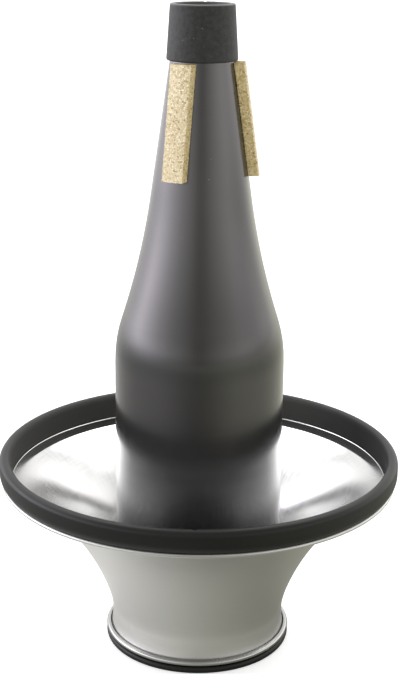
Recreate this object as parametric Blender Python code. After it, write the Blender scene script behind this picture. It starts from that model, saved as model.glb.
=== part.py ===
"""Adjustable cup mute for a trombone, in metres, +Z up.

The origin is on the mute's axis, on the surface that it stands on, and the photographed
side faces -Y. Nearly every piece is spun or moulded round the axis, so its outline is
drawn in the (radius, height) half plane and revolved round Z. Names that end in STEPS
say how many straight pieces stand for a curve.
"""
import math

import bmesh
import bpy
from mathutils import Vector

MM = 0.001

# Shared by all pieces
ROUND_STEPS = 48
SEAT_GAP = 0.3 * MM
INWARDS = math.pi
UPWARDS = math.pi / 2
DOWNWARDS = -math.pi / 2

# Body, a spun aluminium shell shaped like a bottle
BODY_WALL = 0.8 * MM
SKIRT_RADIUS = 37.2 * MM
SKIRT_TOP = 132.5 * MM
SHOULDER_BEND = 60.0 * MM
SHOULDER_LEAN = math.radians(18.1)
EASE_BEND = 320.0 * MM
TAPER_LEAN = math.radians(8.0)
MOUTH_HEIGHT = 274.0 * MM
FLANGE_WIDTH = 2.2 * MM
FLANGE_BEND = 1.2 * MM
FLANGE_STEPS = 3
SHOULDER_STEPS = 4
EASE_STEPS = 4

# Base plate, pressed into the foot of the body
PLATE_WALL = 0.8 * MM
PLATE_CLEARANCE = 2.2 * MM
PLATE_RIM_HEIGHT = 5.5 * MM
PLATE_BEND = 1.2 * MM
PLATE_MARGIN = 5.0 * MM
PLATE_BEAD_WIDTH = 8.0 * MM
PLATE_BEAD_HEIGHT = 1.4 * MM
PLATE_DISH_RADIUS = 18.0 * MM
PLATE_DISH_HEIGHT = 2.6 * MM
PLATE_BEND_STEPS = 2
PLATE_WAVE_STEPS = 4

# Base edging, the rubber ring that the mute stands on
EDGING_HEIGHT = 3.0 * MM
EDGING_SOLE = 0.85 * MM
EDGING_SOLE_WIDTH = 6.0 * MM
EDGING_BULGE = 1.1 * MM
EDGING_BULGE_STEPS = 6

# Cup, spun from one aluminium sheet
CUP_WALL = 0.8 * MM
CURL_RADIUS = 1.0 * MM
CURL_TURN = math.radians(268.0)
NECK_BEND = 23.0 * MM
NECK_TURN = math.radians(16.0)
NECK_STRAIGHT = 3.5 * MM
FLARE_RISE = 63.95 * MM
FLARE_RADIUS = 87.2 * MM
FLARE_RIM_SLOPE = math.radians(12.0)
FLARE_WAIST_PULL = 11.9 * MM
FLARE_RIM_PULL = 29.1 * MM
FOLD_SLIT = 0.3 * MM
UPSTAND_BEND = 0.6 * MM
UPSTAND_HEIGHT = 5.6 * MM
CURL_STEPS = 8
NECK_STEPS = 2
FLARE_STEPS = 9
FOLD_STEPS = 4
UPSTAND_STEPS = 2

# Grip lining, the felt band between the cup's neck and the body
LINING_WALL = 0.5 * MM
LINING_HEIGHT = 8.0 * MM
LINING_RUN_GAP = 0.3 * MM

# Rim edging, the rubber channel over the cup's upstanding flange
RIM_INNER_WALL = 1.6 * MM
RIM_OUTER_WALL = 2.2 * MM
RIM_INNER_LIFT = 0.3 * MM
RIM_CAP = 4.0 * MM
RIM_CROWN = 2.7 * MM
RIM_UNDERCUT = 1.4 * MM
RIM_UNDERCUT_HEIGHT = 3.6 * MM
RIM_UNDERCUT_STEPS = 3
RIM_CROWN_STEPS = 8

# Neck sleeve, the soft tube that carries on from the body's mouth
SLEEVE_LAP = 11.65 * MM
SLEEVE_RISE = 11.4 * MM
SLEEVE_LOW_WALL = 1.1 * MM
SLEEVE_TOP_RADIUS = 13.5 * MM
SLEEVE_TOP_WALL = 2.0 * MM
SLEEVE_ROUND = 0.5 * MM
SLEEVE_ROUND_STEPS = 2

# Cork strips, which hold the mute in the bell and let the air past
CORK_COUNT = 3
CORK_WIDTH = 9.7 * MM
CORK_THICKNESS = 4.3 * MM
CORK_LENGTH = 47.2 * MM
CORK_BELOW_SLEEVE = 0.5 * MM
CORK_FIRST_TURN = math.radians(-30.0)
CORK_ROWS = 4
CORK_COLUMNS = 4


def clear_scene():
    for old in list(bpy.data.objects):
        bpy.data.objects.remove(old, do_unlink=True)


def arc(centre, radius, start, turn, steps):
    """Points of an arc in the (radius, height) plane, both ends included."""
    points = []
    for i in range(steps + 1):
        angle = start + turn * i / steps
        points.append(centre + radius * Vector((math.cos(angle), math.sin(angle))))
    return points


class Run:
    """A path in the (radius, height) plane, carried on by straights and bends."""

    def __init__(self, radius, height, heading):
        self.points = [Vector((radius, height))]
        self.heading = heading

    def straight(self, length):
        ahead = Vector((math.cos(self.heading), math.sin(self.heading)))
        self.points.append(self.points[-1] + ahead * length)
        return self

    def bend(self, radius, turn, steps):
        """Follows an arc. A positive turn is to the left."""
        start = self.heading - math.copysign(math.pi / 2, turn)
        spoke = Vector((math.cos(start), math.sin(start)))
        centre = self.points[-1] - spoke * radius
        self.points += arc(centre, radius, start, turn, steps)[1:]
        self.heading += turn
        return self


def pulled_curve(start, start_pull, end, end_pull, steps):
    """A cubic curve between two points, drawn towards the pull at each end."""
    points = []
    for i in range(steps + 1):
        t = i / steps
        s = 1.0 - t
        near_start = s * s * s * start + 3.0 * s * s * t * (start + start_pull)
        near_end = t * t * t * end + 3.0 * s * t * t * (end + end_pull)
        points.append(near_start + near_end)
    return points


def offset_path(path, distance):
    """The path moved to its left, each stretch by the same distance."""
    moved = []
    for i, point in enumerate(path):
        before = path[i] - path[i - 1] if i > 0 else path[1] - path[0]
        after = path[i + 1] - path[i] if i < len(path) - 1 else before
        left_before = Vector((-before.y, before.x)).normalized()
        left_after = Vector((-after.y, after.x)).normalized()
        middle = (left_before + left_after).normalized()
        moved.append(point + middle * distance / middle.dot(left_before))
    return moved


def sheet_outline(path, wall):
    """The closed outline of a sheet of even thickness whose middle is the path."""
    return offset_path(path, wall / 2) + offset_path(path, -wall / 2)[::-1]


def finished(name, shape, material, parent=None):
    """Makes the named object of a closed bmesh, shaded smooth."""
    bmesh.ops.recalc_face_normals(shape, faces=shape.faces)
    mesh = bpy.data.meshes.new(name)
    shape.to_mesh(mesh)
    shape.free()
    mesh.materials.append(material)
    mesh.shade_smooth()
    mesh.set_sharp_from_angle(angle=math.radians(35.0))
    piece = bpy.data.objects.new(name, mesh)
    bpy.context.scene.collection.objects.link(piece)
    piece.parent = parent
    return piece


def revolve(name, outline, material, parent=None):
    """Revolves a closed outline round Z."""
    shape = bmesh.new()
    ring = [shape.verts.new((point.x, 0.0, point.y)) for point in outline]
    edges = [shape.edges.new((ring[i - 1], ring[i])) for i in range(len(ring))]
    bmesh.ops.spin(
        shape,
        geom=ring + edges,
        cent=(0.0, 0.0, 0.0),
        axis=(0.0, 0.0, 1.0),
        angle=math.tau,
        steps=ROUND_STEPS,
        use_merge=True,
    )
    bmesh.ops.remove_doubles(shape, verts=shape.verts, dist=0.001 * MM)
    return finished(name, shape, material, parent)


def finish(name, colour, roughness, metallic):
    material = bpy.data.materials.new(name)
    material.use_nodes = True
    shader = material.node_tree.nodes["Principled BSDF"]
    shader.inputs["Base Color"].default_value = (*colour, 1.0)
    shader.inputs["Roughness"].default_value = roughness
    shader.inputs["Metallic"].default_value = metallic
    return material


def black_aluminium():
    return finish("black_aluminium", (0.075, 0.075, 0.072), 0.42, 0.9)


def bare_aluminium():
    return finish("bare_aluminium", (0.62, 0.62, 0.60), 0.28, 1.0)


def black_rubber():
    return finish("black_rubber", (0.030, 0.030, 0.028), 0.6, 0.0)


def sleeve_foam():
    return finish("sleeve_foam", (0.048, 0.048, 0.045), 0.9, 0.0)


def cork_sheet():
    return finish("cork_sheet", (0.56, 0.46, 0.24), 0.85, 0.0)


def grey_felt():
    return finish("grey_felt", (0.08, 0.08, 0.08), 0.95, 0.0)


def flange_run():
    """The middle of the body's foot flange, from its edge in and up into the skirt."""
    edge = SKIRT_RADIUS - BODY_WALL / 2 + FLANGE_BEND + FLANGE_WIDTH
    run = Run(edge, EDGING_SOLE + SEAT_GAP + BODY_WALL / 2, INWARDS)
    run.straight(FLANGE_WIDTH)
    return run.bend(FLANGE_BEND, -math.pi / 2, FLANGE_STEPS)


def wall_path():
    """The middle of the body's wall: skirt, shoulder, ease and taper up to the mouth."""
    foot = flange_run().points[-1]
    run = Run(foot.x, foot.y, UPWARDS)
    run.straight(SKIRT_TOP - foot.y)
    run.bend(SHOULDER_BEND - BODY_WALL / 2, SHOULDER_LEAN, SHOULDER_STEPS)
    run.bend(EASE_BEND + BODY_WALL / 2, TAPER_LEAN - SHOULDER_LEAN, EASE_STEPS)
    rise = MOUTH_HEIGHT - run.points[-1].y
    run.straight(rise / math.cos(TAPER_LEAN))
    return run.points


def body_radius(height):
    """The radius of the body's outer face at a height on its wall."""
    face = offset_path(wall_path(), -BODY_WALL / 2)
    for low, high in zip(face, face[1:]):
        if height <= high.y:
            break
    return low.x + (high.x - low.x) * (height - low.y) / (high.y - low.y)


def make_body_shell(material):
    path = flange_run().points + wall_path()[1:]
    return revolve("body_shell", sheet_outline(path, BODY_WALL), material)


def wave(outer, inner, foot, height, turn):
    """Points of a smooth rise along the base plate, from an outer to an inner radius."""
    points = []
    for i in range(PLATE_WAVE_STEPS + 1):
        share = i / PLATE_WAVE_STEPS
        lift = height * (1.0 - math.cos(turn * share)) / 2
        points.append(Vector((outer + (inner - outer) * share, foot + lift)))
    return points


def make_base_plate(material):
    """A pressed disc with an upturned rim, one raised ring and a dished middle."""
    rim = SKIRT_RADIUS - BODY_WALL - SEAT_GAP - PLATE_WALL / 2
    web = PLATE_CLEARANCE + PLATE_WALL / 2
    run = Run(rim, web + PLATE_RIM_HEIGHT, DOWNWARDS)
    run.straight(PLATE_RIM_HEIGHT - PLATE_BEND)
    path = run.bend(PLATE_BEND, -math.pi / 2, PLATE_BEND_STEPS).points
    bead_outer = rim - PLATE_BEND - PLATE_MARGIN
    bead_inner = bead_outer - PLATE_BEAD_WIDTH
    path += wave(bead_outer, bead_inner, web, PLATE_BEAD_HEIGHT, math.tau)
    path += wave(PLATE_DISH_RADIUS, 0.0, web, PLATE_DISH_HEIGHT, math.pi)
    return revolve("base_plate", sheet_outline(path, PLATE_WALL), material)


def neck_radius():
    """The middle of the cup's wall at its waist, clear of the lining and the body."""
    lining = SKIRT_RADIUS + LINING_RUN_GAP + LINING_WALL
    return lining + SEAT_GAP + CUP_WALL / 2


def foot_path():
    """The middle of the cup's foot, from the curl's end round and up to the waist."""
    run = Run(neck_radius(), NECK_STRAIGHT, DOWNWARDS)
    run.straight(NECK_STRAIGHT)
    run.bend(NECK_BEND, NECK_TURN, NECK_STEPS)
    run.bend(CURL_RADIUS, CURL_TURN, CURL_STEPS)
    lowest = min(point.y for point in run.points) - CUP_WALL / 2
    return [Vector((point.x, point.y - lowest)) for point in run.points[::-1]]


def flare_path():
    """The middle of the cup's trumpet-like flare, from the waist out to the rim."""
    start = foot_path()[-1]
    end = Vector((FLARE_RADIUS, start.y + FLARE_RISE))
    back = -Vector((math.cos(FLARE_RIM_SLOPE), math.sin(FLARE_RIM_SLOPE)))
    up = Vector((0.0, FLARE_WAIST_PULL))
    return pulled_curve(start, up, end, back * FLARE_RIM_PULL, FLARE_STEPS)


def upstand_path():
    """The middle of the rim's fold and of the flange that stands up from it."""
    rim = flare_path()[-1]
    run = Run(rim.x, rim.y, FLARE_RIM_SLOPE)
    run.bend((CUP_WALL + FOLD_SLIT) / 2, math.pi, FOLD_STEPS)
    run.bend(UPSTAND_BEND, -math.pi / 2 - FLARE_RIM_SLOPE, UPSTAND_STEPS)
    run.straight(UPSTAND_HEIGHT)
    return run.points[1:]


def bead_radius():
    """The outer radius of the rolled bead at the cup's foot."""
    return max(point.x for point in foot_path()) + CUP_WALL / 2


def make_cup_shell(material, slide):
    path = foot_path() + flare_path()[1:] + upstand_path()
    return revolve("cup_shell", sheet_outline(path, CUP_WALL), material, slide)


def make_cup_grip_lining(material, slide):
    inner = SKIRT_RADIUS + LINING_RUN_GAP
    outer = inner + LINING_WALL
    middle = foot_path()[-1].y - NECK_STRAIGHT / 2
    low = middle - LINING_HEIGHT / 2
    high = middle + LINING_HEIGHT / 2
    corners = ((outer, low), (outer, high), (inner, high), (inner, low))
    outline = [Vector(corner) for corner in corners]
    return revolve("cup_grip_lining", outline, material, slide)


def make_cup_rim_edging(material, slide):
    """A rubber channel: a slot for the flange, a rounded crown, an inner side that ends
    just above the sheet, and an undercut outer side."""
    flange_top = upstand_path()[-1]
    slot_inner = flange_top.x - CUP_WALL / 2 - SEAT_GAP
    slot_outer = flange_top.x + CUP_WALL / 2 + SEAT_GAP
    slot_top = flange_top.y + SEAT_GAP
    inner = slot_inner - RIM_INNER_WALL
    outer = slot_outer + RIM_OUTER_WALL

    rim = flare_path()[-1]
    seat = rim.y + CUP_WALL / 2 / math.cos(FLARE_RIM_SLOPE) + SEAT_GAP
    fold = upstand_path()[:FOLD_STEPS]
    fold_top = max(point.y for point in fold) + CUP_WALL / 2 + SEAT_GAP

    def seat_height(radius):
        return seat - (rim.x - radius) * math.tan(FLARE_RIM_SLOPE)

    outline = [
        Vector((inner, seat_height(inner) + RIM_INNER_LIFT)),
        Vector((slot_inner, seat_height(slot_inner) + RIM_INNER_LIFT)),
        Vector((slot_inner, slot_top)),
        Vector((slot_outer, slot_top)),
        Vector((slot_outer, fold_top)),
    ]
    side = RIM_UNDERCUT_HEIGHT
    undercut_bend = (side * side + RIM_UNDERCUT * RIM_UNDERCUT) / (2 * RIM_UNDERCUT)
    sweep = math.asin(side / undercut_bend)
    undercut_centre = Vector((outer - undercut_bend, fold_top + side))
    outline += arc(undercut_centre, undercut_bend, -sweep, sweep, RIM_UNDERCUT_STEPS)

    crown = Vector(((inner + outer) / 2, slot_top + RIM_CAP - RIM_CROWN))
    for i in range(RIM_CROWN_STEPS + 1):
        angle = math.pi * i / RIM_CROWN_STEPS
        across = math.cos(angle) * (outer - inner) / 2
        outline.append(crown + Vector((across, math.sin(angle) * RIM_CROWN)))
    return revolve("cup_rim_edging", outline, material, slide)


def make_base_edging(material):
    """A rubber ring round the body's foot flange, flush with the cup's bead."""
    outer = bead_radius()
    flange_edge = flange_run().points[0].x + SEAT_GAP
    lip = flange_run().points[1].x
    groove_top = EDGING_SOLE + BODY_WALL + 2 * SEAT_GAP
    corners = (
        (outer - EDGING_SOLE_WIDTH, 0.0),
        (outer - EDGING_SOLE_WIDTH, EDGING_SOLE),
        (flange_edge, EDGING_SOLE),
        (flange_edge, groove_top),
        (lip, groove_top),
        (lip, EDGING_HEIGHT),
    )
    outline = [Vector(corner) for corner in corners]
    for i in range(EDGING_BULGE_STEPS + 1):
        angle = math.pi / 2 - math.pi * i / EDGING_BULGE_STEPS
        across = outer - EDGING_BULGE + EDGING_BULGE * math.cos(angle)
        outline.append(Vector((across, EDGING_HEIGHT / 2 * (1.0 + math.sin(angle)))))
    return revolve("base_edging", outline, material)


def sleeve_foot():
    """The height of the sleeve's lower edge, which laps over the body."""
    return MOUTH_HEIGHT - SLEEVE_LAP


def make_neck_sleeve(material):
    """A soft tube that laps over the body's mouth and carries the bore on."""
    foot = sleeve_foot()
    top = MOUTH_HEIGHT + SLEEVE_RISE
    shoulder = MOUTH_HEIGHT + SEAT_GAP
    lap_foot = body_radius(foot) + SEAT_GAP
    lap_top = body_radius(MOUTH_HEIGHT) + SEAT_GAP
    bore = SLEEVE_TOP_RADIUS - SLEEVE_TOP_WALL
    low_radius = lap_foot + SLEEVE_LOW_WALL
    corners = (
        (lap_foot, foot),
        (low_radius - SLEEVE_ROUND, foot),
        (low_radius, foot + SLEEVE_ROUND),
    )
    round_centre = Vector((SLEEVE_TOP_RADIUS - SLEEVE_ROUND, top - SLEEVE_ROUND))
    outline = [Vector(corner) for corner in corners]
    outline += arc(round_centre, SLEEVE_ROUND, 0.0, math.pi / 2, SLEEVE_ROUND_STEPS)
    outline += [
        Vector((bore, top)),
        Vector((bore, shoulder)),
        Vector((lap_top, shoulder)),
    ]
    return revolve("neck_sleeve", outline, material)


def cork_ring(shape, height):
    """One closed ring of the strip's outline at a height, facing -Y."""
    inner = body_radius(height) + SEAT_GAP
    outer = inner + CORK_THICKNESS
    across = [CORK_WIDTH * (i / CORK_COLUMNS - 0.5) for i in range(CORK_COLUMNS + 1)]
    near = [(x, -math.sqrt(outer * outer - x * x), height) for x in across]
    far = [(x, -math.sqrt(inner * inner - x * x), height) for x in reversed(across)]
    return [shape.verts.new(point) for point in near + far]


def make_cork_strip(number, material):
    """A strip of cork whose back follows the body's taper."""
    top = sleeve_foot() - CORK_BELOW_SLEEVE
    shape = bmesh.new()
    rings = []
    for i in range(CORK_ROWS + 1):
        rings.append(cork_ring(shape, top - CORK_LENGTH * (1.0 - i / CORK_ROWS)))
    for low, high in zip(rings, rings[1:]):
        for i in range(len(low)):
            shape.faces.new((low[i - 1], low[i], high[i], high[i - 1]))
    shape.faces.new(rings[0])
    shape.faces.new(rings[-1])
    strip = finished(f"cork_strip_{number}", shape, material)
    strip.rotation_euler.z = CORK_FIRST_TURN + math.tau * (number - 1) / CORK_COUNT
    return strip


def make_slide():
    """The cup's slide: an empty on the axis, where the bead rests on the base edging."""
    slide = bpy.data.objects.new("cup_slide", None)
    bpy.context.scene.collection.objects.link(slide)
    slide.location.z = EDGING_HEIGHT + SEAT_GAP
    return slide


def main():
    clear_scene()
    rubber = black_rubber()
    cork = cork_sheet()
    make_body_shell(black_aluminium())
    make_base_edging(rubber)
    make_neck_sleeve(sleeve_foam())
    for number in range(1, CORK_COUNT + 1):
        make_cork_strip(number, cork)

    slide = make_slide()
    aluminium = bare_aluminium()
    make_base_plate(aluminium)
    make_cup_shell(aluminium, slide)
    make_cup_rim_edging(rubber, slide)
    make_cup_grip_lining(grey_felt(), slide)


main()
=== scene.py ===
"""Adjustable cup mute for a trombone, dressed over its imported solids, in metres, +Z up."""
import math

import bpy
from mathutils import Matrix, Vector


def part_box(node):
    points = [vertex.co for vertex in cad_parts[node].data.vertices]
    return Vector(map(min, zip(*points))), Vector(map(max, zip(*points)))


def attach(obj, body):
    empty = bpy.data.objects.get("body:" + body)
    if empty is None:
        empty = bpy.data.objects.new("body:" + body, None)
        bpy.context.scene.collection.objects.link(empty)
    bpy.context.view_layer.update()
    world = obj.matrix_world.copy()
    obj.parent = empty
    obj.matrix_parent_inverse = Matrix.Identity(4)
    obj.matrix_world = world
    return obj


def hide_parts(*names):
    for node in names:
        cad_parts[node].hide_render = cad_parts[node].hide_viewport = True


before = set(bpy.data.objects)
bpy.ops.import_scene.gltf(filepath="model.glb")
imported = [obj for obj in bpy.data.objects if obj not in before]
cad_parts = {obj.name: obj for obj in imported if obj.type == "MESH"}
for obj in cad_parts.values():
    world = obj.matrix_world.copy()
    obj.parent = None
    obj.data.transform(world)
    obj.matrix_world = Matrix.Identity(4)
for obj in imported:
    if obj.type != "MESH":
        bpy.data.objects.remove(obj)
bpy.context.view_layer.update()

# The view. The mute stands on its base and is seen from a little above the cup's rim, so
# that the inside of the cup shows. It leans by half a degree or so in the frame.
MM = 0.001
FRAME_HEIGHT_PX = 674
FOCAL_LENGTH_PX = 1396.8
SENSOR_MM = 36.0
CAMERA_PLACE = (0.11 * MM, -587.5 * MM, 319.7 * MM)
LOOKING_DOWN = math.radians(16.795)
FRAME_ROLL = math.radians(0.527)

camera_data = bpy.data.cameras.new("photograph_view")
camera_data.sensor_width = SENSOR_MM
camera_data.lens = FOCAL_LENGTH_PX * SENSOR_MM / FRAME_HEIGHT_PX
camera = bpy.data.objects.new("photograph_view", camera_data)
level = Matrix.Rotation(math.pi / 2 - LOOKING_DOWN, 4, "X")
rolled = Matrix.Rotation(FRAME_ROLL, 4, "Z")
camera.matrix_world = Matrix.Translation(CAMERA_PLACE) @ level @ rolled
bpy.context.scene.collection.objects.link(camera)
bpy.context.scene.camera = camera
bpy.context.scene.view_settings.view_transform = "Standard"


# The studio. A white room with its bright wall behind the mute, a dimmer side round the
# camera, a large soft light at each side and a white table to stand on.
class Shade:
    """One socket in a tree of nodes, worked with in Python as a value."""

    def __init__(self, tree, socket=None):
        self.tree = tree
        self.socket = socket

    def node(self, kind, settings, inputs, output=0):
        """Adds a node: its settings first, then the values or links of its sockets."""
        made = self.tree.nodes.new("ShaderNode" + kind)
        for name, value in settings.items():
            if name != "stops":
                setattr(made, name, value)
                continue
            while len(made.color_ramp.elements) < len(value):
                made.color_ramp.elements.new(1.0)
            for stop, (place, colour) in zip(made.color_ramp.elements, value):
                stop.position = place
                stop.color = (*colour, 1.0)
        for name, value in inputs.items():
            if isinstance(value, Shade):
                self.tree.links.new(value.socket, made.inputs[name])
            else:
                made.inputs[name].default_value = value
        return Shade(self.tree, made.outputs[output]) if made.outputs else None

    def beside(self, output):
        """Another output of the same node."""
        return Shade(self.tree, self.socket.node.outputs[output])

    def maths(self, operation, first, second=0.0):
        return self.node("Math", {"operation": operation}, {0: first, 1: second})

    def between(self, low, high):
        """This value as a share of the way from low to high, kept within 0 and 1."""
        return self.node("MapRange", {}, {0: self, 1: low, 2: high})

    def pick(self, at_zero, at_one):
        """The colour on the way from one to the other that this value says."""
        ends = [(*end, 1.0) if isinstance(end, tuple) else end for end in (at_zero, at_one)]
        return self.node("Mix", {"data_type": "RGBA"}, {0: self, 6: ends[0], 7: ends[1]}, 2)

    def __add__(self, other):
        return self.maths("ADD", self, other)

    __radd__ = __add__

    def __sub__(self, other):
        return self.maths("SUBTRACT", self, other)

    def __rsub__(self, other):
        return self.maths("SUBTRACT", other, self)

    def __mul__(self, other):
        return self.maths("MULTIPLY", self, other)

    __rmul__ = __mul__

    def __truediv__(self, other):
        return self.maths("DIVIDE", self, other)

    def __pow__(self, other):
        return self.maths("POWER", self, other)


# Each entry of the room is a side in degrees, its light and its tint. The camera stands at
# the middle of the list. Pairs give where a change starts and ends: for the room as parts
# of a direction of length 1 from the mute, and for the table in metres from its middle.
WHITE = (1.0, 1.0, 1.0)
BRIGHTEST = 4.2
ROOM_BY_SIDE = (
    (-180, 1.15, (1.0, 1.0, 1.0)), (-150, 1.45, (1.0, 1.0, 1.0)), (-134, 2.25, (1.0, 0.98, 1.02)),
    (-112, 3.5, (1.0, 0.97, 1.05)), (-98, 4.0, (1.0, 0.97, 1.05)), (-80, 3.0, (1.0, 0.97, 1.06)),
    (-60, 1.85, (1.0, 0.98, 1.04)), (-40, 1.15, (1.0, 0.99, 1.0)), (-20, 0.72, (1.0, 0.99, 0.97)),
    (-4, 0.37, (1.0, 0.98, 0.93)), (6, 0.4, (1.0, 0.98, 0.93)), (20, 0.65, (1.0, 0.99, 0.95)),
    (42, 1.0, (1.0, 0.99, 0.96)), (62, 1.27, (1.0, 0.99, 0.98)), (90, 1.2, (1.0, 0.99, 0.99)),
    (112, 1.55, (1.0, 0.98, 0.97)), (134, 1.85, (1.0, 0.98, 0.97)), (180, 1.15, (1.0, 1.0, 1.0)),
)
AT_HORIZON = 0.7
LOW_WALL = 1.5
WALL = 1.12
UPPER_BACK = 1.05
UPPER_FRONT = 0.48
HIGH_PANEL = 3.6
CEILING = 0.40
FRONT_TO_BACK = (-0.30, 0.30)
PANEL_SIDE = (-0.05, 0.25)
PANEL_FOOT = (0.60, 0.77)
CEILING_EDGE = (0.90, 0.97)
EYE_TO_UPPER = (0.30, 0.55)
SIDE_TO_BACK = (0.2, 0.9)
LOW_WALL_FOOT = (-0.02, 0.07)
LOW_WALL_TOP = (0.11, 0.25)
TABLE_SIZE = 12.0
TABLE_DROP = 0.01 * MM
TABLE_COLOUR = (0.80, 0.80, 0.80)
TABLE_GLOW = 0.55
LEFT_OF_FOOT = 1.06
RIGHT_OF_FOOT = 0.36
LEFT_TINT = (1.0, 0.99, 0.965)
RIGHT_TINT = (1.0, 1.0, 0.85)
SHADED_REACH = 0.055
LEFT_AROUND = 0.58
RIGHT_AROUND = 0.66
IN_FRONT = 0.25
PAINTED_SHADOW_AT_FOOT = 0.45
FRONT_NARROWS = 5
FOOT_SHADE = (0.045, 0.065)
FOOT_TO_AROUND = (0.06, 0.26)
AROUND_TO_FAR = (0.60, 4.2)
NEVER_ZERO = 0.0001


def light_by_side(shade, x, y):
    """The room's light at eye height as a share of the brightest, by where it comes from."""
    turn = shade.maths("ARCTAN2", x, -1.0 * y)
    stops = [((side + 180) / 360, tuple(min(1.0, level * part / BRIGHTEST) for part in tint))
             for side, level, tint in ROOM_BY_SIDE]
    return shade.node("ValToRGB", {"stops": stops}, {0: turn / math.tau + 0.5})


world = bpy.data.worlds.new("white_room")
world.use_nodes = True
world.node_tree.nodes.clear()
room = Shade(world.node_tree)
towards = room.node("TexCoord", {}, {}, "Generated")
across = room.node("SeparateXYZ", {}, {0: towards})
along, up = across.beside(1), across.beside(2)
at_eye = light_by_side(room, across, along)
upper = UPPER_FRONT + along.between(*FRONT_TO_BACK) * (UPPER_BACK - UPPER_FRONT)
on_panel = along.between(*PANEL_SIDE) * up.between(*PANEL_FOOT)
upper = upper + on_panel * (HIGH_PANEL - upper)
upper = upper + up.between(*CEILING_EDGE) * (CEILING - upper)
raised = up.between(*EYE_TO_UPPER)
in_room = raised.pick(at_eye, (1.0 / BRIGHTEST,) * 3)
to_side = 1.0 - along.between(*SIDE_TO_BACK)
wall = AT_HORIZON + (LOW_WALL - AT_HORIZON) * up.between(*LOW_WALL_FOOT)
wall = wall - (LOW_WALL - WALL) * up.between(*LOW_WALL_TOP)
eye_level = 1.0 + to_side * (wall - 1.0)
level = BRIGHTEST * (eye_level + raised * (upper - eye_level))
seen = room.node("LightPath", {}, {}, "Is Camera Ray")
sky = room.node("Background", {}, {
    "Color": seen.pick(in_room, WHITE), "Strength": seen + (1.0 - seen) * level})
room.node("OutputWorld", {}, {"Surface": sky})
bpy.context.scene.world = world

bpy.ops.object.select_all(action="DESELECT")
bpy.ops.mesh.primitive_plane_add(size=TABLE_SIZE, location=(0.0, 0.0, -TABLE_DROP))
table = bpy.context.object
table.name = "white_table"
table_finish = bpy.data.materials.new("white_table")
table_finish.use_nodes = True
table_finish.node_tree.nodes.clear()
paint = Shade(table_finish.node_tree)
spot = paint.node("SeparateXYZ", {}, {0: paint.node("TexCoord", {}, {}, "Object")})
depth = spot.beside(1)
distance = (spot * spot + depth * depth + NEVER_ZERO) ** 0.5
# Painted light and shadow: as the metal sees it, the table is brighter left of the foot than right,
# and darker close round the foot.
aside = spot.between(-SHADED_REACH, SHADED_REACH)
by_foot = LEFT_OF_FOOT + aside * (RIGHT_OF_FOOT - LEFT_OF_FOOT)
facing = (-1.0 * depth / distance).between(0.0, 1.0) ** FRONT_NARROWS
around = LEFT_AROUND + aside * (RIGHT_AROUND - LEFT_AROUND)
around = around - (around - IN_FRONT) * facing
nearby = by_foot + distance.between(*FOOT_TO_AROUND) * (around - by_foot)
nearby = nearby * (PAINTED_SHADOW_AT_FOOT + (1.0 - PAINTED_SHADOW_AT_FOOT) * distance.between(*FOOT_SHADE))
far = distance.between(*AROUND_TO_FAR)
horizon = AT_HORIZON + (1.0 - AT_HORIZON) * (depth / distance).between(*SIDE_TO_BACK)
mirrored = far.pick(aside.pick(LEFT_TINT, RIGHT_TINT), light_by_side(paint, spot, depth))
strength = nearby + far * (BRIGHTEST * horizon - nearby)
path_kind = paint.node("LightPath", {}, {}, "Is Camera Ray")
shiny = path_kind.beside("Is Glossy Ray") + path_kind.beside("Is Transmission Ray")
glow = paint.node("Emission", {}, {"Color": (*WHITE, 1.0), "Strength": path_kind * TABLE_GLOW})
flat = paint.node("BsdfDiffuse", {}, {"Color": (*TABLE_COLOUR, 1.0)})
top = paint.node("AddShader", {}, {0: glow, 1: flat})
image = paint.node("Emission", {}, {"Color": mirrored, "Strength": strength})
both = paint.node("MixShader", {}, {0: shiny, 1: top, 2: image})
paint.node("OutputMaterial", {}, {"Surface": both})
table.data.materials.append(table_finish)


# The body. A bottle spun from aluminium sheet, with a flange turned out at its foot, and
# anodised satin black inside and out. It tapers to an open mouth under the sleeve.
SKIRT_RADIUS = 37.2 * MM
BODY_WALL = 0.8 * MM
BODY_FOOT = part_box("body_shell")[0].z
BODY_FLANGE = 2.2 * MM
BODY_FLANGE_BEND = 1.2 * MM
SKIRT_TOP = 132.5 * MM
SHOULDER_BEND = 60.0 * MM
SHOULDER_LEAN = math.radians(18.1)
EASE_BEND = 320.0 * MM
TAPER_LEAN = math.radians(8.0)
MOUTH_HEIGHT = 274.0 * MM
BLACK_ROUGHNESS = 0.25
LOWER_FINISH = (152.0 * MM, 136.0 * MM)
# The shoulder, turn and skirt bands are painted shade, and the skirt's paler band is painted light.
SHOULDER_SHADE_FOOT = (136.0 * MM, 147.0 * MM)
SHOULDER_SHADE_END = (205.0 * MM, 160.0 * MM)
TURN_SHADE_FOOT = (131.5 * MM, 137.0 * MM)
TURN_SHADE_END = (153.0 * MM, 140.0 * MM)
SKIRT_SHADE_END = (118.0 * MM, 82.0 * MM)
SKIRT_LIGHT_END = (112.0 * MM, 104.0 * MM)
SKIRT_LIGHT_FOOT = (89.0 * MM, 97.0 * MM)
LATHE_STEPS = 192
FINEST_BEND = math.radians(6.0)
LONGEST_STEP = 5.0 * MM
WELD = 0.0005 * MM
SMOOTH_BELOW = math.radians(40.0)


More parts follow.
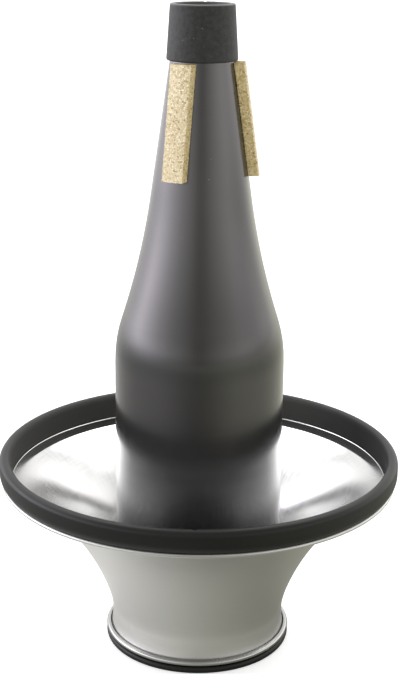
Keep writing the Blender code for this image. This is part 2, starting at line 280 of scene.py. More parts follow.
class Outline:
    """A line beside the axis, in (radius, height), carried on by straights and bends."""

    def __init__(self, radius, height, heading):
        self.points = [Vector((radius, height))]
        self.heading = heading

    def straight(self, length):
        steps = math.ceil(length / LONGEST_STEP)
        ahead = Vector((math.cos(self.heading), math.sin(self.heading))) * length
        start = self.points[-1]
        self.points += [start + ahead * (i + 1) / steps for i in range(steps)]
        return self

    def bend(self, radius, turn):
        """Follows an arc, to the left where the turn is positive."""
        steps = math.ceil(max(abs(turn) / FINEST_BEND, abs(turn) * radius / LONGEST_STEP))
        first = self.heading - math.copysign(math.pi / 2, turn)
        centre = self.points[-1] - radius * Vector((math.cos(first), math.sin(first)))
        for i in range(steps):
            angle = first + turn * (i + 1) / steps
            self.points.append(centre + radius * Vector((math.cos(angle), math.sin(angle))))
        self.heading += turn
        return self


def turn_on_lathe(name, points):
    """Draws a ring of points along an outline. One that ends where it began is closed."""
    bpy.ops.object.select_all(action="DESELECT")
    start = points[0]
    bpy.ops.mesh.primitive_circle_add(vertices=LATHE_STEPS, radius=start.x, enter_editmode=True)
    piece = bpy.context.object
    piece.name = name
    bpy.ops.transform.translate(value=(0.0, 0.0, start.y))
    for last, point in zip(points, points[1:]):
        rise = {"value": (0.0, 0.0, point.y - last.y)}
        bpy.ops.mesh.extrude_edges_move(TRANSFORM_OT_translate=rise)
        spread = point.x / last.x
        bpy.ops.transform.resize(value=(spread, spread, 1.0), center_override=(0.0, 0.0, point.y))
    bpy.ops.mesh.select_all(action="SELECT")
    bpy.ops.mesh.remove_doubles(threshold=WELD)
    bpy.ops.mesh.normals_make_consistent(inside=False)
    bpy.ops.object.mode_set(mode="OBJECT")
    return piece


def apply_modifier(piece, kind, **settings):
    modifier = piece.modifiers.new(kind.lower(), kind)
    for name, value in settings.items():
        setattr(modifier, name, value)
    bpy.ops.object.modifier_apply(modifier=modifier.name)


def thicken(piece, wall, **settings):
    """Gives a spun sheet its wall, half to each side of its middle."""
    apply_modifier(piece, "SOLIDIFY", thickness=wall, offset=0.0, use_even_offset=True, **settings)


def hand_over(piece, body, slot, *nodes):
    """Shades a finished piece, and puts it in the place of its solids."""
    bpy.ops.object.shade_smooth_by_angle(angle=SMOOTH_BELOW)
    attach(piece, body)
    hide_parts(*nodes)


def new_finish(name):
    finish = bpy.data.materials.new(name)
    finish.use_nodes = True
    finish.node_tree.nodes.clear()
    return finish, Shade(finish.node_tree)


def coat(shade, **sockets):
    """Ends a finish in its Principled shader. Underscores stand for spaces."""
    inputs = {name.replace("_", " "): value for name, value in sockets.items()}
    skin = shade.node("BsdfPrincipled", {}, inputs)
    shade.node("OutputMaterial", {}, {"Surface": skin})


def noise(shade, where, scale, detail=2.0):
    return shade.node("TexNoise", {}, {"Vector": where, "Scale": scale, "Detail": detail})


def lathe_grain(shade, rounds, lines):
    """Noise drawn out round the axis, as a tool leaves it on the lathe.

    It has so many changes in a turn, and so many lines to the metre.
    """
    place = shade.node("TexCoord", {}, {}, "Object")
    x = shade.node("SeparateXYZ", {}, {0: place})
    y, z = x.beside(1), x.beside(2)
    radius = (x * x + y * y) ** 0.5
    around = shade.node("CombineXYZ", {}, {
        0: x / radius * rounds, 1: y / radius * rounds, 2: (z + radius) * lines})
    return noise(shade, around, 1.0)


def satin_black():
    """Satin black with a clear coat that is fuller low down, and darker below the shoulder.

    Painted shade darkens the shoulder, the turn into it and the skirt, and a band of painted
    light lifts the skirt part way down, in place of the body's reflections. Each pair of
    heights is where a change in the finish starts and ends.
    """
    finish, shade = new_finish("satin_black_anodised")
    place = shade.node("TexCoord", {}, {}, "Object")
    cloud = noise(shade, place, 60.0)
    grain = lathe_grain(shade, 2.0, 2500.0)
    specks = shade.node("TexVoronoi", {}, {"Vector": place, "Scale": 260.0})
    speck = 1.0 - specks.between(0.035, 0.06)
    sparse = noise(shade, place, 90.0).between(0.60, 0.66)
    marks = speck * sparse
    height = shade.node("SeparateXYZ", {}, {0: place}).beside(2)
    # Painted shade: darker round the shoulder and at the turn into it.
    shoulder_shade = height.between(*SHOULDER_SHADE_FOOT) * height.between(*SHOULDER_SHADE_END)
    lower = height.between(*LOWER_FINISH)
    colour = cloud.pick((0.090, 0.088, 0.088), (0.104, 0.102, 0.102))
    colour = lower.pick(colour, cloud.pick((0.068, 0.066, 0.066), (0.081, 0.079, 0.079)))
    colour = shoulder_shade.pick(colour, (0.073, 0.071, 0.071))
    turn = height.between(*TURN_SHADE_FOOT) * height.between(*TURN_SHADE_END)
    colour = turn.pick(colour, (0.047, 0.046, 0.046))
    # Painted shade: the skirt is darker from here down.
    skirt_shade = height.between(*SKIRT_SHADE_END)
    colour = skirt_shade.pick(colour, (0.036, 0.035, 0.037))
    # Painted light: a paler band part way down the skirt.
    skirt_light = height.between(*SKIRT_LIGHT_END) * height.between(*SKIRT_LIGHT_FOOT)
    colour = skirt_light.pick(colour, (0.105, 0.102, 0.103))
    colour = (marks * 0.6).pick(colour, (0.42, 0.42, 0.42))
    uneven = (cloud - 0.5) * 0.05 + (grain - 0.5) * 0.05
    rough = BLACK_ROUGHNESS - skirt_shade * 0.03 + uneven + marks * 0.2
    bump = shade.node("Bump", {}, {"Strength": 0.12, "Distance": 0.02 * MM, "Height": grain})
    coat(shade, Base_Color=colour, Metallic=0.9, Roughness=rough,
         Coat_Weight=0.25 + lower * 0.75, Coat_Roughness=0.16, Normal=bump)
    return finish


flange_edge = SKIRT_RADIUS - BODY_WALL / 2 + BODY_FLANGE_BEND + BODY_FLANGE
body_line = Outline(flange_edge, BODY_FOOT + BODY_WALL / 2, math.pi)
body_line.straight(BODY_FLANGE).bend(BODY_FLANGE_BEND, -math.pi / 2)
body_line.straight(SKIRT_TOP - body_line.points[-1].y)
body_line.bend(SHOULDER_BEND - BODY_WALL / 2, SHOULDER_LEAN)
body_line.bend(EASE_BEND + BODY_WALL / 2, TAPER_LEAN - SHOULDER_LEAN)
body_line.straight((MOUTH_HEIGHT - body_line.points[-1].y) / math.cos(TAPER_LEAN))
body = turn_on_lathe("spun_body", body_line.points)
thicken(body, BODY_WALL)
body.data.materials.append(satin_black())
hand_over(body, "mute_body", "black_aluminium", "body_shell")


def body_radius(height):
    """The radius of the body's outer face at a height on its taper."""
    low, high = body_line.points[-2], body_line.points[-1]
    lean = (low.x - high.x) / (high.y - low.y)
    return high.x + lean * (high.y - height) + BODY_WALL / 2 * math.hypot(1.0, lean)


# The base plate. A disc of the same sheet left bare, pressed with one raised ring and a
# dished middle, and pushed into the foot of the body by its upturned rim.
PLATE_WALL = 0.8 * MM
PLATE_FIT = 0.3 * MM
PLATE_RIM_HEIGHT = 5.5 * MM
PLATE_BEND = 1.2 * MM
PLATE_MARGIN = 5.0 * MM
PLATE_BEAD_WIDTH = 8.0 * MM
PLATE_BEAD_HEIGHT = 1.4 * MM
PLATE_DISH_RADIUS = 18.0 * MM
PLATE_DISH_HEIGHT = 2.6 * MM
PLATE_MIDDLE = 0.4 * MM
PLATE_WAVE_STEPS = 14


def wave(outer, inner, foot, height, turn):
    """Points of a smooth rise on the plate, from an outer to an inner radius."""
    points = []
    for i in range(PLATE_WAVE_STEPS + 1):
        share = i / PLATE_WAVE_STEPS
        lift = height * (1.0 - math.cos(turn * share)) / 2
        points.append(Vector((outer + (inner - outer) * share, foot + lift)))
    return points


def pick_points(piece, wanted):
    """Opens a piece for editing with only the wanted points selected."""
    bpy.ops.object.mode_set(mode="EDIT")
    bpy.ops.mesh.select_all(action="DESELECT")
    bpy.ops.object.mode_set(mode="OBJECT")
    for point in piece.data.vertices:
        point.select = wanted(point.co)
    bpy.ops.object.mode_set(mode="EDIT")


def bare_spun():
    finish, shade = new_finish("bare_spun_aluminium")
    grain = lathe_grain(shade, 1.5, 1800.0)
    dull = noise(shade, shade.node("TexCoord", {}, {}, "Object"), 90.0)
    colour = (grain * 0.5 + dull * 0.5).pick((0.52, 0.52, 0.51), (0.68, 0.68, 0.66))
    rough = 0.30 + (grain - 0.5) * 0.12 + (dull - 0.5) * 0.1
    bump = shade.node("Bump", {}, {"Strength": 0.2, "Distance": 0.02 * MM, "Height": grain})
    coat(shade, Base_Color=colour, Metallic=1.0, Roughness=rough, Anisotropic=0.5,
         Anisotropic_Rotation=0.25, Normal=bump)
    return finish


plate_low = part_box("base_plate")[0].z + PLATE_WALL / 2
plate_rim = SKIRT_RADIUS - BODY_WALL - PLATE_FIT - PLATE_WALL / 2
plate_line = Outline(plate_rim, plate_low + PLATE_RIM_HEIGHT, -math.pi / 2)
plate_line.straight(PLATE_RIM_HEIGHT - PLATE_BEND).bend(PLATE_BEND, -math.pi / 2)
bead_outer = plate_rim - PLATE_BEND - PLATE_MARGIN
bead_inner = bead_outer - PLATE_BEAD_WIDTH
plate_points = list(plate_line.points)
plate_points += wave(bead_outer, bead_inner, plate_low, PLATE_BEAD_HEIGHT, math.tau)
plate_points += wave(PLATE_DISH_RADIUS, PLATE_MIDDLE, plate_low, PLATE_DISH_HEIGHT, math.pi)
plate = turn_on_lathe("base_disc", plate_points)
pick_points(plate, lambda place: math.hypot(place.x, place.y) < PLATE_MIDDLE + WELD)
bpy.ops.mesh.merge(type="CENTER")
bpy.ops.object.mode_set(mode="OBJECT")
thicken(plate, PLATE_WALL)
plate.data.materials.append(bare_spun())
hand_over(plate, "mute_body", "bare_aluminium", "base_plate")


# The base edging. A ring of black rubber pushed over the body's foot flange, which the
# mute stands on. Its outer side bulges level with the bead of the cup.
EDGING_HEIGHT = 3.0 * MM
EDGING_SOLE = 0.85 * MM
EDGING_SOLE_WIDTH = 6.0 * MM
EDGING_BULGE = 1.1 * MM
EDGING_FIT = 0.3 * MM
EDGING_BULGE_STEPS = 24
EDGING_SOLE_EDGE = 0.25 * MM
PALE_EDGE = (1.4 * MM, 0.4 * MM)
SHADE_TO_RIGHT = (48.0 * MM, 75.0 * MM)


def black_rubber(name, pale_within):
    """Rubber that is paler and rougher where it faces the axis, just past a radius, with painted
    shade darkening that face towards the right.
    """
    finish, shade = new_finish(name)
    place = shade.node("TexCoord", {}, {}, "Object")
    x = shade.node("SeparateXYZ", {}, {0: place})
    y = x.beside(1)
    radius = (x * x + y * y) ** 0.5
    pale_inner = radius.between(*(pale_within + edge for edge in PALE_EDGE))
    fine = noise(shade, place, 2600.0, 3.0)
    bloom = noise(shade, place, 45.0, 4.0)
    colour = bloom.pick((0.0046, 0.0044, 0.0035), (0.0076, 0.0073, 0.0059))
    # The inner face's colour is pale, with painted shade darkening it towards the right.
    dust = x.between(*SHADE_TO_RIGHT).pick((0.062, 0.061, 0.056), (0.018, 0.018, 0.017))
    colour = pale_inner.pick(colour, dust)
    rough = 0.44 + pale_inner * 0.42 + (bloom - 0.5) * 0.12 + (fine - 0.5) * 0.1
    bump = shade.node("Bump", {}, {"Strength": 0.1, "Distance": 0.04 * MM, "Height": fine})
    coat(shade, Base_Color=colour, Roughness=rough, Specular_IOR_Level=0.35, Normal=bump)
    return finish


edging_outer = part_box("base_edging")[1].x
edging_groove_top = EDGING_SOLE + BODY_WALL + 2 * EDGING_FIT
edging_groove_end = flange_edge + EDGING_FIT
edging_lip = flange_edge - BODY_FLANGE
edging_inner = edging_outer - EDGING_SOLE_WIDTH
edging_points = [Vector(corner) for corner in (
    (edging_inner + EDGING_SOLE_EDGE, 0.0),
    (edging_inner, EDGING_SOLE_EDGE),
    (edging_inner, EDGING_SOLE),
    (edging_groove_end, EDGING_SOLE),
    (edging_groove_end, edging_groove_top),
    (edging_lip, edging_groove_top),
    (edging_lip, EDGING_HEIGHT - EDGING_SOLE_EDGE),
    (edging_lip + EDGING_SOLE_EDGE, EDGING_HEIGHT),
)]
for i in range(EDGING_BULGE_STEPS + 1):
    angle = math.pi / 2 - math.pi * i / EDGING_BULGE_STEPS
    out = edging_outer - EDGING_BULGE + EDGING_BULGE * math.cos(angle)
    edging_points.append(Vector((out, EDGING_HEIGHT / 2 * (1.0 + math.sin(angle)))))
base_ring = turn_on_lathe("base_ring", edging_points + edging_points[:1])
base_ring.data.materials.append(black_rubber("foot_rubber", 0.0))
hand_over(base_ring, "mute_body", "black_rubber", "base_edging")


# The neck sleeve. A tube of dense black foam rubber, stretched over the body's mouth. It
# is matt, with an open grain, and carries the bore on past the metal.
SLEEVE_TOP_RADIUS = 13.5 * MM
SLEEVE_TOP_WALL = 2.0 * MM
SLEEVE_LOW_WALL = 1.1 * MM
SLEEVE_ROUND = 0.7 * MM
SLEEVE_LIP_ROUND = 0.4 * MM
SLEEVE_LOOSE = 0.05 * MM
SLEEVE_FIT = 0.3 * MM
NICK_PLACE = 1.0 * MM
NICK_HALF_WIDTH = 0.45 * MM
NICK_DEPTH = 0.5 * MM
NICK_LIP = 0.3 * MM
SHEEN_TOP_EDGE = (0.8 * MM, 0.1 * MM)
SHEEN_BORE_EDGE = (0.5 * MM, 0.1 * MM)


def sleeve_foam(top, bore):
    """The foam's skin is dark. Its top end and bore are smoother, and painted paler as painted
    sheen and light.
    """
    finish, shade = new_finish("sleeve_foam")
    place = shade.node("TexCoord", {}, {}, "Object")
    x = shade.node("SeparateXYZ", {}, {0: place})
    y, z = x.beside(1), x.beside(2)
    in_bore = ((x * x + y * y) ** 0.5).between(*(bore + edge for edge in SHEEN_BORE_EDGE))
    at_top = z.between(*(top - edge for edge in SHEEN_TOP_EDGE))
    painted_sheen = at_top + in_bore - in_bore * at_top
    pores = shade.node("TexVoronoi", {}, {"Vector": place, "Scale": 1500.0})
    fine = noise(shade, place, 1800.0, 4.0)
    mottle = noise(shade, place, 520.0, 3.0)
    lint = shade.node("TexVoronoi", {}, {"Vector": place, "Scale": 420.0}).between(0.17, 0.08)
    rare = noise(shade, place, 160.0).between(0.56, 0.64)
    dust = lint * rare
    mixed = (fine * 0.4 + mottle * 0.6).between(0.3, 0.7)
    colour = mixed.pick((0.007, 0.007, 0.006), (0.031, 0.031, 0.029))
    colour = (dust * 0.7).pick(colour, (0.20, 0.20, 0.18))
    # Painted sheen and light: the top end and bore are paler.
    colour = painted_sheen.pick(colour, (0.13, 0.13, 0.125))
    height = fine * 0.6 + pores * 0.6
    bump = shade.node("Bump", {}, {"Strength": 0.5, "Distance": 0.10 * MM, "Height": height})
    coat(shade, Base_Color=colour, Roughness=0.60 - painted_sheen * 0.2, Specular_IOR_Level=0.5, Normal=bump)
    return finish


def in_nick(place):
    """Whether a place is in the nick in the far side of the sleeve's lip."""
    on_lip = place.z > sleeve_top - NICK_LIP and place.y > 0.0
    return on_lip and abs(place.x - NICK_PLACE) < NICK_HALF_WIDTH


sleeve_low, sleeve_top = (corner.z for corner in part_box("neck_sleeve"))
sleeve_lap = body_radius(sleeve_low) + SLEEVE_LOOSE
sleeve_outer = body_radius(sleeve_low) + SLEEVE_FIT + SLEEVE_LOW_WALL
sleeve_bore = SLEEVE_TOP_RADIUS - SLEEVE_TOP_WALL
sleeve_step = MOUTH_HEIGHT + SLEEVE_FIT
side_lean = math.atan((sleeve_outer - SLEEVE_TOP_RADIUS) / (sleeve_top - sleeve_low))
sleeve_line = Outline(sleeve_lap, sleeve_low, 0.0)
sleeve_line.straight(sleeve_outer - sleeve_lap - SLEEVE_ROUND)
sleeve_line.bend(SLEEVE_ROUND, math.pi / 2 + side_lean)
sleeve_side = sleeve_top - sleeve_line.points[-1].y - SLEEVE_ROUND
sleeve_line.straight(sleeve_side / math.cos(side_lean))
sleeve_line.bend(SLEEVE_ROUND, math.pi / 2 - side_lean)
sleeve_line.straight(sleeve_line.points[-1].x - sleeve_bore - SLEEVE_LIP_ROUND)
sleeve_line.bend(SLEEVE_LIP_ROUND, math.pi / 2)
sleeve_line.straight(sleeve_line.points[-1].y - sleeve_step)
sleeve_line.points.append(Vector((body_radius(MOUTH_HEIGHT) + SLEEVE_LOOSE, sleeve_step)))
sleeve = turn_on_lathe("mouth_sleeve", sleeve_line.points + sleeve_line.points[:1])
pick_points(sleeve, in_nick)
bpy.ops.transform.translate(value=(0.0, 0.0, -NICK_DEPTH))
bpy.ops.object.mode_set(mode="OBJECT")
sleeve.data.materials.append(sleeve_foam(sleeve_top, sleeve_bore))
hand_over(sleeve, "mute_body", "sleeve_foam", "neck_sleeve")


# The cork strips. Three strips cut from a sheet of pressed cork granules and glued down
# the taper, a third of a turn apart, to wedge the mute in the bell and let the air past.
CORK_WIDTH = 9.7 * MM
CORK_THICKNESS = 4.3 * MM
CORK_SEAT = 0.3 * MM
CORK_GLUE = 0.04 * MM
CORK_TURNS = (-30.0, 90.0, 210.0)
CORK_MESH = 0.26 * MM
CORK_CUTTER_SPARE = 1.0 * MM
CORK_GRAIN = 0.7 * MM
CORK_GRAIN_DEPTH = 0.22 * MM
CORK_GRAIN_SUNK = 0.75
CORK_SIDE_SHADE_DEPTH = (0.65 * MM, 0.30 * MM)
CORK_GRANULES = 1500.0
CORK_DRIFT = 0.0007


def cork_granules(outer_foot, lean):
    """The outer face is painted paler and the cut sides darker and browner, as painted light and
    shade between the faces.
    """
    finish, shade = new_finish("pressed_cork")
    place = shade.node("TexCoord", {}, {}, "Object")
    x = shade.node("SeparateXYZ", {}, {0: place})
    y, z = x.beside(1), x.beside(2)
    depth = outer_foot.x - lean * (z - outer_foot.y) - (x * x + y * y) ** 0.5
    # Painted light and shade: paler on the outer face, darker and browner on the sides.
    tint = depth.between(*CORK_SIDE_SHADE_DEPTH).pick((0.85, 0.82, 0.68), (1.13, 1.17, 1.29))
    drift = noise(shade, place, 900.0, 3.0)
    pushed = shade.node("VectorMath", {"operation": "MULTIPLY_ADD"}, {
        0: drift.beside(1), 1: (CORK_DRIFT,) * 3, 2: place})
    cells = {"Vector": pushed, "Scale": CORK_GRANULES}
    granules = shade.node("TexVoronoi", {}, cells)
    seams = shade.node("TexVoronoi", {"feature": "DISTANCE_TO_EDGE"}, cells)
    pick = shade.node("SeparateColor", {}, {0: granules.beside("Color")})
    tone = shade.node("ValToRGB", {"stops": (
        (0.0, (0.33, 0.23, 0.10)), (0.08, (0.52, 0.40, 0.20)), (0.30, (0.68, 0.55, 0.31)),
        (0.75, (0.78, 0.66, 0.41)), (1.0, (0.88, 0.79, 0.56)))}, {0: pick})
    edge = seams.between(0.0, 0.08)
    colour = edge.pick((0.46, 0.34, 0.17), tone)
    colour = shade.node("VectorMath", {"operation": "MULTIPLY"}, {0: colour, 1: tint})
    height = edge * 0.5 + pick.beside(1) * 0.5 + drift * 0.3
    bump = shade.node("Bump", {}, {"Strength": 0.7, "Distance": 0.12 * MM, "Height": height})
    coat(shade, Base_Color=colour, Roughness=0.85, Specular_IOR_Level=0.5, Normal=bump)
    return finish


cork_low, cork_high = (corner.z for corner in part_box("cork_strip_1"))
grain_texture = bpy.data.textures.new("cork_grain", "VORONOI")
grain_texture.noise_scale = CORK_GRAIN
ring_points = [Vector(corner) for corner in (
    (body_radius(cork_low) + CORK_GLUE, cork_low),
    (body_radius(cork_low) + CORK_SEAT + CORK_THICKNESS, cork_low),
    (body_radius(cork_high) + CORK_SEAT + CORK_THICKNESS, cork_high),
    (body_radius(cork_high) + CORK_GLUE, cork_high),
)]
cork_lean = (ring_points[1].x - ring_points[2].x) / (cork_high - cork_low)
cork = cork_granules(ring_points[1], cork_lean)
for number, turn in enumerate(CORK_TURNS, 1):
    collar = turn_on_lathe("cork_collar", ring_points + ring_points[:1])
    bpy.ops.object.select_all(action="DESELECT")
    reach = ring_points[1].x
    bpy.ops.mesh.primitive_cube_add(
        size=1.0, location=(0.0, -reach / 2 - CORK_CUTTER_SPARE, (cork_low + cork_high) / 2),
        scale=(CORK_WIDTH, reach, 2 * (cork_high - cork_low)))
    strip = bpy.context.object
    strip.name = f"cork_{number}"
    bpy.ops.object.transform_apply(location=True, rotation=True, scale=True)
    apply_modifier(strip, "BOOLEAN", object=collar, operation="INTERSECT", solver="EXACT")
    bpy.data.objects.remove(collar)
    apply_modifier(strip, "REMESH", mode="VOXEL", voxel_size=CORK_MESH)
    bpy.ops.object.mode_set(mode="EDIT")
    bpy.ops.mesh.select_all(action="SELECT")
    bpy.ops.transform.rotate(value=-math.radians(turn), orient_axis="Z",
                             center_override=(0.0, 0.0, 0.0))
    bpy.ops.object.mode_set(mode="OBJECT")
    apply_modifier(strip, "DISPLACE", texture=grain_texture, texture_coords="LOCAL",
                   strength=CORK_GRAIN_DEPTH, mid_level=CORK_GRAIN_SUNK)
    strip.data.materials.append(cork)
    hand_over(strip, "mute_body", "cork_sheet", f"cork_strip_{number}")


# The cup. One aluminium sheet spun into a trumpet-like flare, satin outside and polished
# inside, with a bead rolled at its foot and a folded rim whose flange holds the rubber.
# Its brim stands up a little, and a fine step runs round it at the foot of the rubber.
CUP_WALL = 0.8 * MM
CURL_RADIUS = 1.0 * MM
CURL_TURN = math.radians(268.0)
NECK_BEND = 23.0 * MM
NECK_TURN = math.radians(16.0)
NECK_STRAIGHT = 3.5 * MM
GRIP_GAP = 0.3 * MM
GRIP_WALL = 0.5 * MM
FLARE_RISE = 63.95 * MM
FLARE_RADIUS = 87.2 * MM
FLARE_RIM_SLOPE = math.radians(12.0)
FLARE_WAIST_PULL = 11.9 * MM
FLARE_RIM_PULL = 29.1 * MM
FLARE_STEPS = 44
BRIM_LIFT = 0.9 * MM
BRIM_FOOT = 62.0 * MM
BRIM_PEAK = 76.5 * MM
BRIM_END = 85.0 * MM
FOLD_SLIT = 0.3 * MM
UPSTAND_BEND = 0.6 * MM
UPSTAND_HEIGHT = 5.6 * MM
STEP_RADIUS = 84.0 * MM
STEP_BEND = 0.4 * MM
STEP_ROOT = 0.3 * MM
STEP_STEPS = 10
CREASE_SHADE_EDGE = (0.5 * MM, 0.1 * MM)
BEAD_EDGE = 1.0 * MM
BEHIND_BODY = (-10.0 * MM, 25.0 * MM)
SCRATCHED_SIDE = (0.0, -30.0 * MM)
WORN_AND_SHADED_FROM = (60.0 * MM, 76.0 * MM)
BRIGHT_FROM = (70.0 * MM, 78.0 * MM)


def satin_aluminium(crease):
    """Satin metal, with a line of painted shade in the crease over the bead."""
    finish, shade = new_finish("satin_aluminium")
    place = shade.node("TexCoord", {}, {}, "Object")
    height = shade.node("SeparateXYZ", {}, {0: place}).beside(2)
    under = height.between(*(crease - edge for edge in CREASE_SHADE_EDGE))
    over = height.between(*(crease + edge for edge in CREASE_SHADE_EDGE))
    grain = lathe_grain(shade, 3.0, 1600.0)
    fine = lathe_grain(shade, 7.0, 5200.0)
    cloud = noise(shade, place, 35.0)
    colour = (grain * 0.6 + cloud * 0.4).pick((0.56, 0.56, 0.54), (0.64, 0.64, 0.62))
    # Painted shade in the crease.
    colour = (under * over).pick(colour, (0.15, 0.15, 0.145))
    rough = 0.36 + (grain - 0.5) * 0.12 + (fine - 0.5) * 0.1
    bump = shade.node("Bump", {}, {
        "Strength": 0.3, "Distance": 0.015 * MM, "Height": grain * 0.5 + fine * 0.5})
    coat(shade, Base_Color=colour, Metallic=1.0, Roughness=rough, Anisotropic=0.55,
         Anisotropic_Rotation=0.25, Normal=bump)
    return finish


def polished_aluminium(bead_top):
    """Polished metal, best near the far rim, worn and scratched in front, with painted shade
    darkening the front and the bead.
    """
    finish, shade = new_finish("polished_aluminium")
    grain = lathe_grain(shade, 5.0, 900.0)
    fine = lathe_grain(shade, 12.0, 3600.0)
    place = shade.node("TexCoord", {}, {}, "Object")
    x = shade.node("SeparateXYZ", {}, {0: place})
    y = x.beside(1)
    radius = (x * x + y * y) ** 0.5
    streaks = noise(shade, shade.node("CombineXYZ", {}, {
        0: x / radius * 90.0, 1: y / radius * 90.0, 2: radius * 30.0}), 1.0, 3.0)
    hairs = noise(shade, shade.node("CombineXYZ", {}, {
        0: x * 1500.0, 1: y * 90.0, 2: x.beside(2) * 90.0}), 1.0)
    patches = noise(shade, place, 30.0).between(0.44, 0.56)
    hairs = hairs.between(0.60, 0.68) * patches * y.between(*SCRATCHED_SIDE)
    tone = (grain * 0.4 + streaks * 0.6).between(0.3, 0.7)
    colour = hairs.pick(tone.pick((0.76, 0.755, 0.75), (0.86, 0.86, 0.855)), (0.93, 0.93, 0.92))
    # Painted shade: the bead is darker.
    bead_shade = x.beside(2).between(bead_top + BEAD_EDGE, bead_top)
    colour = bead_shade.pick(colour, (0.45, 0.45, 0.44))
    behind_body = y.between(*BEHIND_BODY)
    worn_and_shaded = radius.between(*WORN_AND_SHADED_FROM) * (1.0 - behind_body)
    # Worn and rougher in front, and painted shade darkens it there.
    colour = (worn_and_shaded * (1.0 - hairs)).pick(colour, (0.58, 0.575, 0.57))
    bright = radius.between(*BRIGHT_FROM) * behind_body
    uneven = (grain - 0.5) * 0.06 + (fine - 0.5) * 0.05 + (streaks - 0.5) * 0.16 + hairs * 0.25
    rough = 0.24 - behind_body * 0.05 - bright * 0.13 - bead_shade * 0.08 + worn_and_shaded * 0.13
    rough = rough + uneven * (1.0 - bright * 0.75)
    height = grain * 0.3 + fine * 0.3 + streaks * 0.4 + hairs * 0.5
    bump = shade.node("Bump", {}, {"Strength": 0.15, "Distance": 0.01 * MM, "Height": height})
    coat(shade, Base_Color=colour, Metallic=1.0, Roughness=rough, Anisotropic=0.6,
         Anisotropic_Rotation=0.25, Normal=bump)
    return finish


def pulled_curve(start, start_pull, end, end_pull):
    """A cubic curve between two points, drawn towards the pull at each end."""
    points = []
    for i in range(1, FLARE_STEPS + 1):
        t = i / FLARE_STEPS
        s = 1.0 - t
        near_start = s * s * s * start + 3.0 * s * s * t * (start + start_pull)
        points.append(near_start + t * t * t * end + 3.0 * s * t * t * (end + end_pull))
    return points


neck = SKIRT_RADIUS + GRIP_GAP + GRIP_WALL + GRIP_GAP + CUP_WALL / 2
foot_line = Outline(neck, NECK_STRAIGHT, -math.pi / 2)
foot_line.straight(NECK_STRAIGHT).bend(NECK_BEND, NECK_TURN)
crease = foot_line.points[-1].y
foot_line.bend(CURL_RADIUS, CURL_TURN)
cup_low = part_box("cup_shell")[0].z
drop = cup_low + CUP_WALL / 2 - min(point.y for point in foot_line.points)
foot_points = [Vector((point.x, point.y + drop)) for point in foot_line.points[::-1]]
crease = crease + drop
waist = foot_points[-1]
rim_edge = Vector((FLARE_RADIUS, waist.y + FLARE_RISE))
rim_pull = -FLARE_RIM_PULL * Vector((math.cos(FLARE_RIM_SLOPE), math.sin(FLARE_RIM_SLOPE)))
flare_points = pulled_curve(waist, Vector((0.0, FLARE_WAIST_PULL)), rim_edge, rim_pull)
for point in flare_points:
    climb = (point.x - BRIM_FOOT) / (BRIM_PEAK - BRIM_FOOT)
    fall = (BRIM_END - point.x) / (BRIM_END - BRIM_PEAK)
    point.y += BRIM_LIFT * (1.0 - math.cos(math.pi * max(0.0, min(climb, fall, 1.0)))) / 2
fold_line = Outline(rim_edge.x, rim_edge.y, FLARE_RIM_SLOPE)
fold_line.bend((CUP_WALL + FOLD_SLIT) / 2, math.pi)
fold_height = max(point.y for point in fold_line.points)
fold_line.bend(UPSTAND_BEND, -math.pi / 2 - FLARE_RIM_SLOPE)
fold_line.straight(UPSTAND_HEIGHT)
cup = turn_on_lathe("spun_cup", foot_points + flare_points + fold_line.points[1:])
cup.data.materials.append(satin_aluminium(crease))
cup.data.materials.append(polished_aluminium(crease + 3 * CURL_RADIUS))
thicken(cup, CUP_WALL, material_offset=1)


def sheet_top(radius):
    """The height of the cup's inner face near its rim."""
    for low, high in zip(flare_points, flare_points[1:]):
        if low.x <= radius <= high.x:
            share = (radius - low.x) / (high.x - low.x)
            lean = math.atan2(high.y - low.y, high.x - low.x)
            return low.y + share * (high.y - low.y) + CUP_WALL / 2 / math.cos(lean)


step_lean = math.atan2(sheet_top(STEP_RADIUS) - sheet_top(STEP_RADIUS - STEP_BEND), STEP_BEND)
step_centre = Vector((STEP_RADIUS - STEP_BEND,
                      sheet_top(STEP_RADIUS - STEP_BEND) + STEP_BEND / math.cos(step_lean)))
step_points = [Vector((STEP_RADIUS + STEP_BEND, sheet_top(STEP_RADIUS) - STEP_ROOT)),
               Vector((STEP_RADIUS - STEP_BEND, sheet_top(STEP_RADIUS - STEP_BEND) - STEP_ROOT))]
for i in range(STEP_STEPS + 1):
    angle = (step_lean - math.pi / 2) * (1.0 - i / STEP_STEPS)
    step_points.append(step_centre + STEP_BEND * Vector((math.cos(angle), math.sin(angle))))
step_points.append(step_points[-1] + Vector((STEP_BEND, 0.0)))
step = turn_on_lathe("cup_step", step_points + step_points[:1])
step.data.materials.append(cup.data.materials[1])
bpy.ops.object.select_all(action="DESELECT")
step.select_set(True)
cup.select_set(True)
bpy.context.view_layer.objects.active = cup
bpy.ops.object.join()
hand_over(cup, "cup", "cup_aluminium", "cup_shell")


# The rim edging. A black rubber channel pushed down over the cup's flange and on to the
# fold below it. Its two ends meet at the front, where the crown's inner half has a notch.
RIM_FIT = 0.3 * MM
RIM_INNER_WALL = 1.6 * MM
RIM_OUTER_WALL = 2.2 * MM
RIM_CROWN = 2.7 * MM
RIM_UNDERCUT = 1.4 * MM
RIM_UNDERCUT_HEIGHT = 3.6 * MM
RIM_UNDERCUT_STEPS = 10
RIM_INNER_LIFT = 0.3 * MM
RIM_CROWN_STEPS = 28
JOINT_PLACE = -1.2 * MM
JOINT_HALF_WIDTH = 1.3 * MM
JOINT_DEPTH = 1.4 * MM
JOINT_REACH = 2.8 * MM

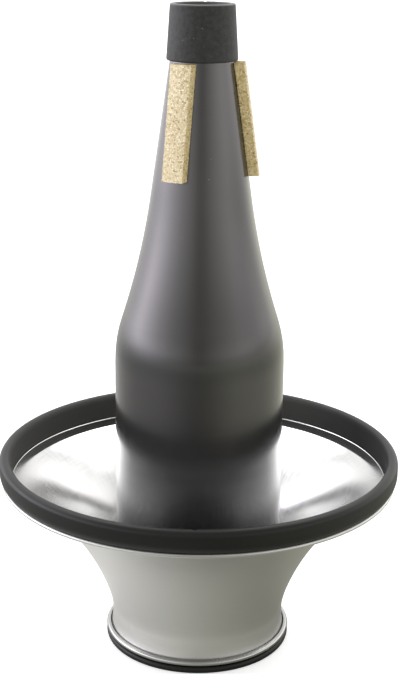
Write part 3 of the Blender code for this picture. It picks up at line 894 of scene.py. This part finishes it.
flange_top = fold_line.points[-1]
slot_inner = flange_top.x - CUP_WALL / 2 - RIM_FIT
slot_outer = flange_top.x + CUP_WALL / 2 + RIM_FIT
slot_top = flange_top.y + RIM_FIT
channel_inner = slot_inner - RIM_INNER_WALL
channel_outer = slot_outer + RIM_OUTER_WALL
seat_height = rim_edge.y + CUP_WALL / 2 / math.cos(FLARE_RIM_SLOPE) + RIM_FIT
fold_top = fold_height + CUP_WALL / 2 + RIM_FIT
crown_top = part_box("cup_rim_edging")[1].z


def inner_foot(radius):
    """Where the channel's inner side ends, a little above the slope of the cup."""
    slope = (rim_edge.x - radius) * math.tan(FLARE_RIM_SLOPE)
    return Vector((radius, seat_height + RIM_INNER_LIFT - slope))


def in_joint(place):
    """Whether a place is in the notch where the channel's ends meet."""
    on_cut = abs(place.x - JOINT_PLACE) < WELD and place.y < 0.0
    past_inner = math.hypot(place.x, place.y) - channel_inner
    return on_cut and past_inner < JOINT_REACH and place.z > crown_top - RIM_CROWN - WELD


channel_points = [
    inner_foot(channel_inner), inner_foot(slot_inner), Vector((slot_inner, slot_top)),
    Vector((slot_outer, slot_top)), Vector((slot_outer, fold_top)),
]
undercut_bend = (RIM_UNDERCUT_HEIGHT ** 2 + RIM_UNDERCUT ** 2) / (2 * RIM_UNDERCUT)
sweep = math.asin(RIM_UNDERCUT_HEIGHT / undercut_bend)
for i in range(RIM_UNDERCUT_STEPS + 1):
    angle = sweep * (i / RIM_UNDERCUT_STEPS - 1.0)
    hollow = Vector((channel_outer - undercut_bend, fold_top + RIM_UNDERCUT_HEIGHT))
    channel_points.append(hollow + undercut_bend * Vector((math.cos(angle), math.sin(angle))))
for i in range(RIM_CROWN_STEPS + 1):
    angle = math.pi * i / RIM_CROWN_STEPS
    half = (channel_outer - channel_inner) / 2
    middle = Vector(((channel_inner + channel_outer) / 2, crown_top - RIM_CROWN))
    channel_points.append(middle + Vector((math.cos(angle) * half, math.sin(angle) * RIM_CROWN)))
channel = turn_on_lathe("rim_channel", channel_points + channel_points[:1])
bpy.ops.object.mode_set(mode="EDIT")
for side in (-1.0, 0.0, 1.0):
    cut_place = (JOINT_PLACE + side * JOINT_HALF_WIDTH, 0.0, 0.0)
    bpy.ops.mesh.select_all(action="SELECT")
    bpy.ops.mesh.bisect(plane_co=cut_place, plane_no=(1.0, 0.0, 0.0))
pick_points(channel, in_joint)
bpy.ops.transform.translate(value=(0.0, 0.0, -JOINT_DEPTH))
bpy.ops.object.mode_set(mode="OBJECT")
channel.data.materials.append(black_rubber("rim_rubber", channel_inner))
hand_over(channel, "cup", "black_rubber", "cup_rim_edging")


# The grip lining. A band of thin pressed felt glued inside the neck of the cup, which
# rubs on the body and holds the cup where it is put.
GRIP_EDGE = 0.12 * MM


def pressed_felt():
    finish, shade = new_finish("pressed_felt")
    place = shade.node("TexCoord", {}, {}, "Object")
    fibres = noise(shade, place, 1400.0, 5.0)
    colour = fibres.pick((0.050, 0.050, 0.050), (0.110, 0.110, 0.108))
    bump = shade.node("Bump", {}, {"Strength": 0.8, "Distance": 0.1 * MM, "Height": fibres})
    coat(shade, Base_Color=colour, Roughness=0.95, Sheen_Weight=0.4, Normal=bump)
    return finish


grip_low, grip_high = (corner.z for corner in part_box("cup_grip_lining"))
grip_inner = SKIRT_RADIUS + GRIP_GAP
grip_points = [Vector(corner) for corner in (
    (grip_inner + GRIP_WALL, grip_low), (grip_inner + GRIP_WALL, grip_high),
    (grip_inner + GRIP_EDGE, grip_high), (grip_inner, grip_high - GRIP_EDGE),
    (grip_inner, grip_low + GRIP_EDGE), (grip_inner + GRIP_EDGE, grip_low),
)]
grip = turn_on_lathe("grip_band", grip_points + grip_points[:1])
grip.data.materials.append(pressed_felt())
hand_over(grip, "cup", "grey_felt", "cup_grip_lining")
